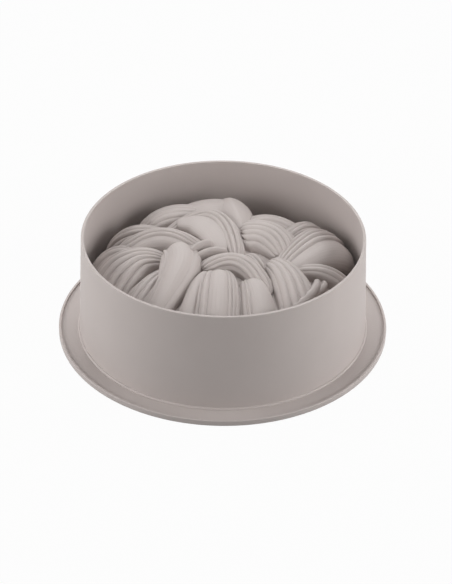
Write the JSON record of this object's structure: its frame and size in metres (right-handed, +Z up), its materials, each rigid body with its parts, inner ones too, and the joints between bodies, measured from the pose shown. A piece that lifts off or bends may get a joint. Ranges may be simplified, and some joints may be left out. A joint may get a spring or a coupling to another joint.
{
  "type": "silicone cake mould",
  "caption": "Round flexible cake mould, standing upside down on its brim, with a plaited skein relief over the cake cavity inside a plain round skirt.",
  "frame": {"origin": "centre of the brim's underside, the face that the mould stands on as pictured", "axes": "+Z up, from the brim to the skirt's rim; +X to the right and +Y to the back as pictured"},
  "size_m": [0.235, 0.235, 0.0786],
  "materials": {
    "silicone": "matt taupe silicone"
  },
  "bodies": {
    "root": {"brim": "silicone", "brim_lip": "silicone", "skirt": "silicone", "skirt_collar": "silicone", "cavity_shell": "silicone", "skein_back_ledge": "silicone", "skein_back_side_left": "silicone", "skein_back_side_right": "silicone", "skein_left_back_side": "silicone", "skein_left_mid_side": "silicone", "skein_back_left": "silicone", "skein_back_knob": "silicone", "skein_right_back_low": "silicone", "skein_left_side": "silicone", "skein_right_low": "silicone", "skein_left_low": "silicone", "skein_right_front_tail": "silicone", "skein_right_front_tuft": "silicone", "skein_left_upper": "silicone", "skein_right_back": "silicone", "skein_centre_thread": "silicone", "skein_right_centre": "silicone", "skein_left_arch": "silicone", "skein_left_fan": "silicone", "skein_right_fan": "silicone", "skein_crown_leaf": "silicone", "skein_crown_arch": "silicone", "skein_finger_upper": "silicone", "skein_finger_lower": "silicone", "skein_centre_arch": "silicone", "skein_right_front": "silicone", "skein_front_left_fold": "silicone", "skein_front_left": "silicone", "skein_front_centre": "silicone", "skein_front_right": "silicone"}
  },
  "joints": []
}
